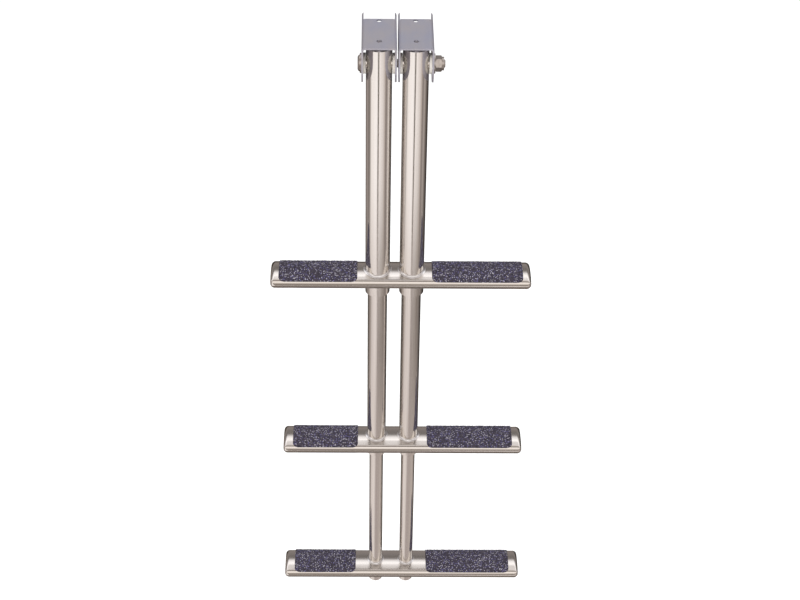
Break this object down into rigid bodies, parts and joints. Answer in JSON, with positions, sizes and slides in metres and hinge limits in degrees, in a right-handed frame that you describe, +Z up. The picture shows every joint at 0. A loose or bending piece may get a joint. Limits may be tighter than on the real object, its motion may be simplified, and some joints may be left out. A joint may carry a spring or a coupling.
{
  "type": "boat boarding ladder",
  "caption": "Telescoping boarding ladder: stepped pairs of steel tubes with wide oval treads and grit pads, hung on folded hinge brackets by a long pivot bolt.",
  "frame": {"origin": "centre of the four screw holes, on the brackets' upper mounting face", "axes": "+Z up; the person climbs from the -Y side; +Y runs in under the platform; rungs run along X"},
  "size_m": [0.3453, 0.0952, 0.8885],
  "materials": {
    "polished_steel": "polished, faint lengthwise draw lines",
    "satin_steel": "satin",
    "fastener_steel": "plain machined",
    "weld_steel": "rippled weld bead",
    "grit_pad": "coarse grit with small glints",
    "white_nylon": "matte"
  },
  "bodies": {
    "brackets": {"left_bracket": "satin_steel", "right_bracket": "satin_steel", "pivot_bolt": "fastener_steel", "pivot_nut": "fastener_steel", "nut_insert": "white_nylon", "nut_washer": "fastener_steel", "head_washer": "fastener_steel", "left_outer_spacer": "white_nylon", "left_inner_spacer": "white_nylon", "right_outer_spacer": "white_nylon", "right_inner_spacer": "white_nylon"},
    "upper_frame": {"left_upper_rail": "polished_steel", "left_head_plate": "polished_steel", "left_pivot_sleeve": "polished_steel", "left_upper_bush": "white_nylon", "right_upper_rail": "polished_steel", "right_head_plate": "polished_steel", "right_pivot_sleeve": "polished_steel", "right_upper_bush": "white_nylon", "upper_rung": "polished_steel", "upper_cap_left": "polished_steel", "upper_cap_right": "polished_steel", "upper_pad_left": "grit_pad", "upper_pad_right": "grit_pad", "upper_welds": "weld_steel"},
    "middle_frame": {"left_middle_rail": "polished_steel", "left_middle_piston": "white_nylon", "left_middle_bush": "white_nylon", "right_middle_rail": "polished_steel", "right_middle_piston": "white_nylon", "right_middle_bush": "white_nylon", "middle_rung": "polished_steel", "middle_cap_left": "polished_steel", "middle_cap_right": "polished_steel", "middle_pad_left": "grit_pad", "middle_pad_right": "grit_pad", "middle_welds": "weld_steel"},
    "lower_frame": {"left_lower_rail": "polished_steel", "left_lower_piston": "white_nylon", "left_foot_plug": "polished_steel", "right_lower_rail": "polished_steel", "right_lower_piston": "white_nylon", "right_foot_plug": "polished_steel", "lower_rung": "polished_steel", "lower_cap_left": "polished_steel", "lower_cap_right": "polished_steel", "lower_pad_left": "grit_pad", "lower_pad_right": "grit_pad", "lower_welds": "weld_steel"}
  },
  "joints": [
    {"name": "ladder_swing", "type": "hinge", "parent": "brackets", "child": "upper_frame", "pos_m": [0, -0.022, -0.0315], "axis": [1, 0, 0], "range_deg": [-110, 90]},
    {"name": "middle_slide", "type": "slide", "parent": "upper_frame", "child": "middle_frame", "axis": [0, 0, 1], "range_m": [0, 0.242]},
    {"name": "lower_slide", "type": "slide", "parent": "middle_frame", "child": "lower_frame", "axis": [0, 0, 1], "range_m": [0, 0.2055]}
  ]
}
